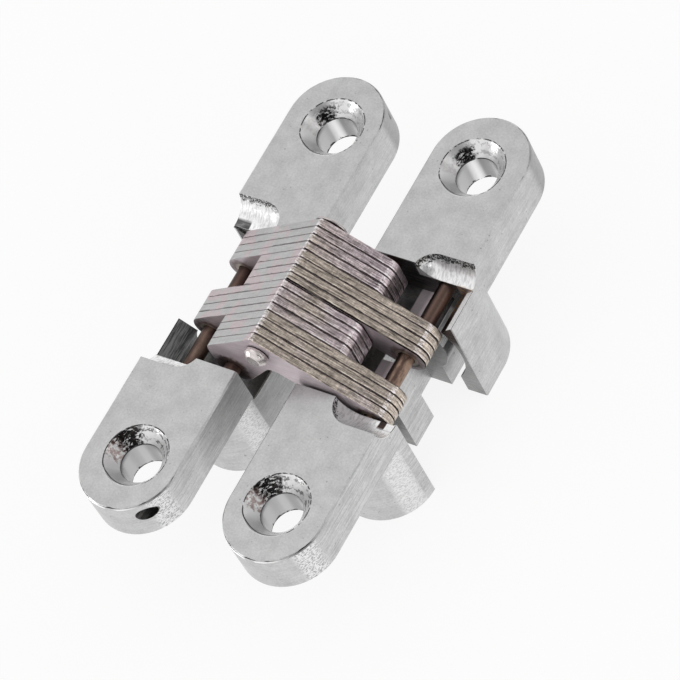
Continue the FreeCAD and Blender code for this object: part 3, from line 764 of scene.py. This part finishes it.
def casting_finish():
    """Every zone of a cast leaf. Place is in millimetres from the middle of the leaf's face."""
    wire, given, out = new_group(
        "casting finish",
        [("Vector", ["Place", "Facing"]), ("Float", ["Room", *CASTING_LENGTHS]),
         ("Color", CASTING_COLOURS)],
        FINISH,
    )
    at = casting_places(wire, given)
    for find in (casting_grain, hole_zones, cone_zones, trough_zones, worn_zones, skin_zones, rim_zones):
        find(wire, at)
    lip_line = wire.every(at.low_top, wire.fall(at.across, LIP_OUTSIDE - 0.15, LIP_OUTSIDE))
    at.lines = wire.either(hole_lines(wire, at), at.rim_dark, lip_line)
    wire.feed(out["Colour"], casting_colour(wire, given, at))
    wire.feed(out["Metal"], casting_metal(wire, at))
    wire.feed(out["Roughness"], casting_roughness(wire, at))
    wire.feed(out["Height"], casting_height(wire, at))
    return wire.tree


# The stamped plates. Place is in millimetres in the room.


PLATE_COLOURS = [
    "Edge Colour", "Tint Colour", "Pale Colour", "Rosy Colour", "Side Colour", "Burr Colour",
    "Seam Colour", "Smudge Colour", "Collar Colour",
]


def plate_places(wire, given):
    """Where a point lies on its plate, which way it faces, and the plate's own share of noise."""
    across, along, up = wire.split(given["Place"])
    facing = wire.split(given["Facing"])
    offset = wire.join(wire.times(given["Seed"], 7.3), 0.0, wire.times(given["Seed"], 3.1))
    at = SimpleNamespace(
        place=given["Place"], across=across, along=along, up=up, facing=facing,
        shifted=wire.vector("ADD", given["Place"], offset),
        flat=wire.ramp(wire.amount(facing[1]), 0.88, 0.97),
        front_side=wire.fall(facing[1], -0.9, -0.8),
        left=wire.fall(facing[0], -0.3, 0.1),
    )
    at.edge = wire.apart(at.flat)
    at.streaks = wire.lines(at.shifted, (0.32, 4.6, 0.32), 2.8)
    at.roll = wire.lines(at.shifted, (0.35, 1.0, 3.2), 1.2)
    at.drift = wire.noise(at.shifted, 0.5, 3.0, 0.65)
    return at


def plate_seams(wire, given, at):
    """Seams of painted shade beside the neighbours, broken up a little, and a painted highlight line
    beside the front one.
    """
    beside = wire.minus(at.along, given["Middle"])
    wander = wire.scaled(at.drift, 0.3, -0.13)
    to_front = wire.plus(wire.plus(beside, given["Half"]), wander)
    to_back = wire.plus(wire.minus(given["Half"], beside), wander)
    at.nearest = wire.maths("MINIMUM", to_front, to_back)
    slim = wire.lerp(at.left, 0.8, 0.6)
    past_front = wire.minus(to_front, wire.times(given["Front Seam"], slim))
    past_back = wire.minus(to_back, wire.times(given["Back Seam"], slim))
    broken = wire.noise(wire.stretch(at.place, (0.10, 0.42, 0.10)), 1.0, 2.0, 0.6)
    low, high, least = (wire.lerp(at.left, *pair) for pair in ((0.30, 0.46), (0.46, 0.60), (0.55, 0.0)))
    broken = wire.ramp(broken, low, high, least)
    past_seam = wire.maths("MINIMUM", past_front, past_back)
    # painted shade in the groove beside each neighbour
    at.seam = wire.every(at.edge, wire.fall(past_seam, -0.02, 0.04), wire.lerp(at.left, 1.0, 0.6), broken)
    at.raised = wire.every(at.edge, wire.band(past_front, 0.10, 0.26, 0.06), wire.apart(at.left), broken)


def plate_burrs(wire, at):
    """A row of burrs along the ridge and where the arms' ends turn down, painted bright as highlights."""
    ridge = wire.every(
        wire.fall(wire.amount(at.across), 0.45, 0.75), wire.ramp(at.up, RIDGE - 1.3, RIDGE - 1.0)
    )
    turning = wire.every(wire.band(at.facing[0], 0.64, 0.78, 0.04), wire.ramp(at.facing[2], 0.3, 0.45))
    torn = wire.noise(wire.stretch(at.shifted, (1.0, 2.6, 1.0)), 1.2, 2.0, 0.6)
    at.burr = wire.every(
        wire.either(ridge, turning), at.edge, wire.ramp(torn, 0.43, 0.54),
        wire.ramp(at.nearest, 1.0, 0.3, 0.35, 1.0),
    )


def edge_metal(wire, given, at):
    """Sheared edges: taupe and lilac on the right slope; on the left one, paler and rosy as a painted
    sheen.
    """
    lilac = wire.scaled(wire.noise(at.place, 0.10, 2.0, 0.5), 0.8, given["Tint"])
    tint = wire.ramp(wire.scaled(at.across, given["Fade"], lilac), 0.42, 0.70)
    right = wire.blend(tint, given["Edge Colour"], given["Tint Colour"])
    rosy = wire.noise(wire.vector("ADD", at.place, (31.0, 7.0, 0.0)), 0.16, 2.0, 0.5)
    rosy = wire.ramp(rosy, 0.46, 0.58)
    # the left slope's paler, rosy colour is a painted sheen
    left = wire.blend(wire.times(tint, 0.45), given["Pale Colour"], given["Tint Colour"])
    left = wire.blend(wire.times(rosy, 0.85), left, given["Rosy Colour"])
    ticks = wire.noise(wire.stretch(at.shifted, (2.4, 0.8, 2.4)), 1.0, 2.0, 0.6)
    colour = wire.blend(at.left, right, left)
    colour = wire.shade(colour, wire.vary(at.streaks, wire.lerp(at.left, 1.9, 0.4)))
    colour = wire.shade(colour, wire.vary(ticks, wire.lerp(at.left, 1.2, 0.3)))
    # painted highlight line beside the front seam, on the right slope
    return wire.shade(colour, wire.scaled(at.raised, 0.4))


def flat_metal(wire, given, at):
    """Flat sides, darker low down as painted shade, with grease round the pins, dark rings round the
    sliding one and a painted shadow under it.
    """
    long_pin, short_pin = (wire.split(given[title]) for title in ("Long Pin", "Short Pin"))
    above_pin = wire.minus(at.up, long_pin[2])
    from_long = wire.distance(wire.minus(at.across, long_pin[0]), above_pin)
    from_short = wire.distance(wire.minus(at.across, short_pin[0]), wire.minus(at.up, short_pin[2]))
    nearest = wire.maths("MINIMUM", from_long, from_short)
    greasy = wire.scaled(wire.noise(at.shifted, 0.9, 3.0, 0.6), -4.0, nearest)
    colour = wire.shade(given["Side Colour"], wire.vary(at.roll, 0.7))
    # painted shade, darker low down
    colour = wire.shade(colour, wire.ramp(at.up, SHADE_FOOT, SHADE_TOP, 0.5, 1.0))
    collar = wire.every(wire.fall(from_long, COLLAR_RADIUS, COLLAR_RADIUS + 0.15), at.front_side)
    # painted shadow in a crescent under the sliding pin's collar
    crescent = wire.every(
        wire.band(from_long, COLLAR_RADIUS + 0.05, CRESCENT_RADIUS, 0.08),
        wire.fall(above_pin, -2.0, -0.6), at.front_side,
    )
    return cover(wire.blend, colour, (
        (wire.ramp(greasy, 0.8, 3.0, 0.9, 0.0), given["Smudge Colour"]),
        (collar, wire.shade(given["Collar Colour"], wire.vary(at.drift, 2.0))),
        (crescent, given["Seam Colour"]),
    ))


def plate_finish():
    """A stamped plate: streaked edges, seams of painted shade, burrs at the ridge painted as highlights,
    lilac flat sides.
    """
    wire, given, out = new_group(
        "plate finish",
        [("Vector", ["Place", "Facing", "Long Pin", "Short Pin"]), ("Color", PLATE_COLOURS),
         ("Float", ["Seed", "Middle", "Half", "Front Seam", "Back Seam", "Tint", "Fade"])],
        FINISH,
    )
    at = plate_places(wire, given)
    plate_seams(wire, given, at)
    plate_burrs(wire, at)
    colour = cover(wire.blend, edge_metal(wire, given, at), (
        (at.flat, flat_metal(wire, given, at)),
        # painted shade in the seams
        (at.seam, given["Seam Colour"]),
        # burrs painted as highlights
        (wire.every(at.burr, wire.apart(at.seam)), given["Burr Colour"]),
    ))
    wire.feed(out["Colour"], colour)
    rough = wire.scaled(wire.minus(at.streaks, 0.5), 0.2, 0.38)
    wire.feed(out["Roughness"], cover(wire.lerp, rough, ((at.seam, 0.6), (at.burr, 0.3))))
    matt = wire.either(wire.times(at.burr, 0.6), wire.times(at.flat, 0.45))
    wire.feed(out["Metal"], wire.apart(wire.times(matt, wire.apart(at.seam))))
    height = wire.scaled(at.burr, 0.05, wire.times(at.streaks, 0.018))
    wire.feed(out["Height"], wire.lerp(at.flat, height, wire.times(at.roll, 0.01)))
    return wire.tree


# The turned pins. Place is in millimetres in the room.


def pin_finish():
    """A turned pin: fine rings, stains along it, a shaded left side, and painted shade in the crevices
    beside a rivet's ends.
    """
    wire, given, out = new_group(
        "pin finish",
        [("Vector", ["Place", "Facing"]), ("Color", ["Colour", "Stain Colour", "Crevice Colour"]),
         ("Float", ["Stain", "Dents", "Crevice", "Roughness", "Shade"])],
        FINISH,
    )
    place = given["Place"]
    along = wire.split(place)[1]
    rings = wire.lines(place, (0.3, 3.4, 0.3), 1.4)
    smear = wire.noise(wire.stretch(place, (1.0, 0.35, 1.0)), 0.6, 3.0, 0.6)
    stained = wire.either(wire.ramp(smear, 0.4, 0.62), wire.ramp(along, 0.0, 5.0))
    colour = wire.blend(wire.times(stained, given["Stain"]), given["Colour"], given["Stain Colour"])
    colour = wire.shade(colour, wire.vary(rings, 0.5))
    left_side = wire.ramp(wire.split(given["Facing"])[0], -0.5, 0.25, 0.15, 1.0)
    colour = wire.shade(colour, wire.lerp(given["Shade"], 1.0, left_side))
    beyond = wire.minus(wire.amount(along), given["Crevice"])
    past_grime = wire.minus(beyond, wire.ramp(along, -1.0, 1.0, 0.25, 0.68))
    # painted shade in the crevice between the plates and each of the rivet's ends
    grime = wire.every(
        wire.ramp(beyond, -0.2, -0.1), wire.fall(past_grime, 0.0, 0.1),
        wire.ramp(given["Crevice"], 0.1, 1.0),
    )
    wire.feed(out["Colour"], wire.blend(grime, colour, given["Crevice Colour"]))
    wire.feed(out["Roughness"], wire.scaled(wire.minus(rings, 0.5), 0.2, given["Roughness"]))
    wire.feed(out["Metal"], wire.lerp(given["Shade"], 0.9, 0.8))
    dents = wire.noise(place, 1.0, 2.0, 0.5)
    wire.feed(out["Height"], wire.scaled(dents, given["Dents"], wire.times(rings, 0.008)))
    return wire.tree


# Materials and soft edges.


def fresh_wiring(owner):
    """The wiring of a material or a world with no nodes in it."""
    owner.use_nodes = True
    owner.node_tree.nodes.clear()
    return Wiring(owner.node_tree)


def metal(name, group, turn=0.0, shift=(0.0, 0.0, 0.0), **inputs):
    """A metal whose colour, roughness and relief come from a finish group."""
    material = bpy.data.materials.new(name)
    wire = fresh_wiring(material)
    about = wire.node("ShaderNodeTexCoord").outputs
    own = wire.node("ShaderNodeMapping", Vector=about["Object"])
    own.inputs["Scale"].default_value = (1 / MILLIMETRE,) * 3
    own.inputs["Rotation"].default_value = (0.0, 0.0, turn)
    own.inputs["Location"].default_value = shift
    facing = wire.node(
        "ShaderNodeVectorRotate", {"rotation_type": "Z_AXIS"}, Vector=about["Normal"], Angle=turn
    )
    finish = use_group(wire, shared(group), Place=own.outputs[0], Facing=facing.outputs[0], **inputs)
    relief = wire.node("ShaderNodeBump", Strength=1.0, Distance=MILLIMETRE, Height=finish["Height"])
    surface = wire.node(
        "ShaderNodeBsdfPrincipled", Base_Color=finish["Colour"], Roughness=finish["Roughness"],
        Metallic=finish["Metal"], Normal=relief.outputs[0],
    )
    wire.node("ShaderNodeOutputMaterial", Surface=surface.outputs[0])
    return material


def give(node, material):
    """Put a material on a CAD node in place of its plain one."""
    slots = NODES[node].material_slots
    for slot in slots:
        slot.link = "OBJECT"
        slot.material = material
    if not slots:
        NODES[node].data.materials.append(material)


def soften(node, width, steps):
    """Round a node's sharp edges a little; the flat faces stay where they are."""
    piece = NODES[node]
    weld = piece.modifiers.new("weld", "WELD")
    weld.merge_threshold = WELD_REACH
    flat = piece.modifiers.new("flat faces", "DECIMATE")
    flat.decimate_type = "DISSOLVE"
    flat.angle_limit = FLAT_ANGLE
    bevel = piece.modifiers.new("soft edges", "BEVEL")
    bevel.limit_method = "ANGLE"
    bevel.angle_limit = SHARP_ANGLE
    bevel.width = width
    bevel.segments = steps
    bevel.use_clamp_overlap = True
    even = piece.modifiers.new("even shading", "WEIGHTED_NORMAL")
    even.keep_sharp = False


class HINGE_OT_leaves(bpy.types.Operator):
    """Finish the two cast leaves."""

    bl_idname = "hinge.leaves"
    bl_label = "Cast Leaves"

    def execute(self, context):
        chosen = context.scene.casting_finish
        values = chosen_values(chosen, CASTING_COLOURS + CASTING_LENGTHS)
        for node, turn in (("left_leaf", 0.0), ("right_leaf", math.pi)):
            name = node.replace("_leaf", " casting")
            shift = (LEAF_MIDDLE, 0.0, -FACE_LEVEL)
            give(node, metal(name, casting_finish, turn, shift, Room=math.cos(turn), **values))
            soften(node, chosen.soft_edge, 2)
        return {"FINISHED"}


class HINGE_OT_plates(bpy.types.Operator):
    """Finish the stamped link plates, from the far end of the pin to the near one."""

    bl_idname = "hinge.plates"
    bl_label = "Link Plates"

    def execute(self, context):
        chosen = context.scene.plate_finish
        values = chosen_values(chosen, PLATE_COLOURS)
        for number, node in enumerate(PLATE_ORDER):
            low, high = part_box(node)
            material = metal(
                node.replace("_", " "), plate_finish, Seed=float(number), Middle=middle(node)[1],
                Half=(high[1] - low[1]) / 2 / MILLIMETRE,
                Back_Seam=self.seam(chosen.seam, number), Front_Seam=self.seam(chosen.seam, number + 1),
                Tint=PACK_TINTS[number // PACK], Fade=PACK_FADES[number // PACK],
                Long_Pin=self.pin(node, "slide"), Short_Pin=self.pin(node, "fixed"), **values,
            )
            give(node, material)
            soften(node, chosen.soft_edge, 1)
        return {"FINISHED"}

    def pin(self, node, kind):
        """The middle of the pin in a plate's long or short arm, in millimetres."""
        side = "left" if ("link_a" in node) == (kind == "slide") else "right"
        return middle("%s_%s_pin" % (side, kind))

    def seam(self, width, number):
        """A seam's width in millimetres: none at the stack's ends, and the widest in its middle."""
        if number in (0, len(PLATE_ORDER)):
            return 0.0
        share = 2.2 if number == len(PLATE_ORDER) // 2 else 0.7 + 0.6 * (number * 0.618 % 1.0)
        return width * share / MILLIMETRE


class HINGE_OT_pins(bpy.types.Operator):
    """Finish the rivet and the four plain pins."""

    bl_idname = "hinge.pins"
    bl_label = "Pins"

    def execute(self, context):
        chosen = context.scene.pin_finish
        # the pins' stain colour and the painted crevice shade colour
        stains = chosen_values(chosen, ["Stain Colour", "Crevice Colour"])
        rivet = metal(
            "rivet metal", pin_finish, Colour=rgba(chosen.head_colour), Stain=0.25, Dents=0.05,
            Crevice=STACK_END, Roughness=0.26, **stains,
        )
        bronze = metal(
            "fixed pin metal", pin_finish, Colour=rgba(chosen.colour), Stain=0.9, Dents=0.02,
            Roughness=0.4, Shade=0.5, **stains,
        )
        sliding = metal(
            "sliding pin metal", pin_finish, Colour=rgba(chosen.slide_colour), Stain=0.85, Dents=0.02,
            Roughness=0.36, Shade=1.0, **stains,
        )
        # the left sliding pin lies in shade and takes the fixed pins' darker metal as painted shade; the
        # right sliding pin, in open view, takes the lighter one
        metals = {"centre_pin": rivet, "right_slide_pin": sliding}
        for node in NODES:
            if node.endswith("_pin"):
                give(node, metals.get(node, bronze))
                soften(node, chosen.soft_edge, 2)
        return {"FINISHED"}


# The studio.


def add_lamp(name, place, size, power):
    """A round soft lamp that points at the hinge."""
    light = bpy.data.lights.new(name, "AREA")
    light.shape = "DISK"
    light.size = size
    light.energy = power
    lamp = bpy.data.objects.new(name, light)
    lamp.location = place
    lamp.rotation_mode = "QUATERNION"
    lamp.rotation_quaternion = (Vector(AIM) - Vector(place)).to_track_quat("-Z", "Y")
    bpy.context.scene.collection.objects.link(lamp)


def studio_floor(setup):
    """A pale floor that shows white to the camera and keeps the hinge's soft shadow."""
    mesh = bpy.data.meshes.new("floor")
    corners = [(x * FLOOR_HALF, y * FLOOR_HALF, 0) for x, y in ((-1, -1), (1, -1), (1, 1), (-1, 1))]
    mesh.from_pydata(corners, [], [(0, 1, 2, 3)])
    floor = bpy.data.objects.new("floor", mesh)
    bpy.context.scene.collection.objects.link(floor)
    material = bpy.data.materials.new("pale floor")
    wire = fresh_wiring(material)
    place = wire.node("ShaderNodeTexCoord").outputs["Object"]
    mottle = wire.noise(wire.stretch(place, (9.0, 9.0, 9.0)), 3.0)
    matt = wire.node("ShaderNodeBsdfDiffuse", Color=rgba(setup.floor_colour))
    wire.feed(matt.inputs["Roughness"], wire.ramp(mottle, 0.0, 1.0, 0.9, 1.0))
    glow = wire.node("ShaderNodeEmission", Color=WHITE, Strength=1.0)
    path = wire.node("ShaderNodeLightPath").outputs
    seen = wire.either(path["Is Camera Ray"], path["Is Glossy Ray"])
    mixed = wire.either_shader(wire.times(seen, 0.86), matt, glow)
    wire.node("ShaderNodeOutputMaterial", Surface=mixed.outputs[0])
    mesh.materials.append(material)


def studio_world(setup):
    """White where it is seen and a plain soft level on the hinge, whose metal mirrors a white tent."""
    world = bpy.data.worlds.new("studio")
    wire = fresh_wiring(world)
    path = wire.node("ShaderNodeLightPath").outputs
    # the tent is open and so dark low down at the front right, and greyer at the back right
    aim = wire.node("ShaderNodeTexCoord").outputs["Generated"]
    opening = wire.ramp(wire.toward(aim, TENT_OPENING), 0.80, 0.93, 1.0, 0.05)
    greyer = wire.ramp(wire.toward(aim, TENT_SHADE), 0.74, 0.96, 1.0, 0.5)
    soft, tent, shown = (
        wire.node("ShaderNodeBackground", Color=WHITE, Strength=strength)
        for strength in (setup.level, wire.every(opening, greyer), 1.0)
    )
    lit = wire.either_shader(path["Is Glossy Ray"], soft, tent)
    whole = wire.either_shader(path["Is Camera Ray"], lit, shown)
    wire.node("ShaderNodeOutputWorld", Surface=whole.outputs[0])
    bpy.context.scene.world = world


def studio_camera(setup):
    """A camera at the photograph's viewing angle."""
    lens = bpy.data.cameras.new("camera")
    lens.lens = setup.lens
    lens.sensor_width = 36.0
    lens.clip_start = 0.01
    lens.clip_end = 20.0
    camera = bpy.data.objects.new("camera", lens)
    camera.location = CAMERA_PLACE
    camera.rotation_mode = "QUATERNION"
    camera.rotation_quaternion = Quaternion(CAMERA_TURN)
    bpy.context.scene.collection.objects.link(camera)
    bpy.context.scene.camera = camera


class HINGE_OT_studio(bpy.types.Operator):
    """Set the floor, the world, the lamps and the camera."""

    bl_idname = "hinge.studio"
    bl_label = "Studio"

    def execute(self, context):
        setup = context.scene.studio_setup
        studio_floor(setup)
        studio_world(setup)
        for name, power, place, size in LAMPS:
            add_lamp(name, place, size, getattr(setup, power))
        studio_camera(setup)
        context.scene.view_settings.view_transform = "Standard"
        return {"FINISHED"}


class HINGE_PT_panel(bpy.types.Panel):
    """Lists the hinge's pieces and its studio."""

    bl_label = "Cross Hinge"
    bl_idname = "HINGE_PT_panel"
    bl_space_type = "VIEW_3D"
    bl_region_type = "UI"
    bl_category = "Cross Hinge"

    def draw(self, context):
        layout = self.layout
        for operator in OPERATORS:
            layout.operator(operator.bl_idname)
        for settings in SETTINGS:
            box = layout.box()
            group = getattr(context.scene, settings)
            for name in group.bl_rna.properties.keys():
                if name not in ("rna_type", "name"):
                    box.prop(group, name)


SETTINGS = {
    "casting_finish": CastingFinish,
    "plate_finish": PlateFinish,
    "pin_finish": PinFinish,
    "studio_setup": StudioSetup,
}
OPERATORS = (HINGE_OT_leaves, HINGE_OT_plates, HINGE_OT_pins, HINGE_OT_studio)


def register():
    for kind in (*SETTINGS.values(), *OPERATORS, HINGE_PT_panel):
        bpy.utils.register_class(kind)
    for name, kind in SETTINGS.items():
        setattr(bpy.types.Scene, name, bpy.props.PointerProperty(type=kind))


def unregister():
    for name in SETTINGS:
        delattr(bpy.types.Scene, name)
    for kind in (HINGE_PT_panel, *reversed(OPERATORS), *SETTINGS.values()):
        bpy.utils.unregister_class(kind)


def main():
    register()
    bpy.ops.hinge.leaves()
    bpy.ops.hinge.plates()
    bpy.ops.hinge.pins()
    bpy.ops.hinge.studio()


if __name__ == "__main__":
    main()
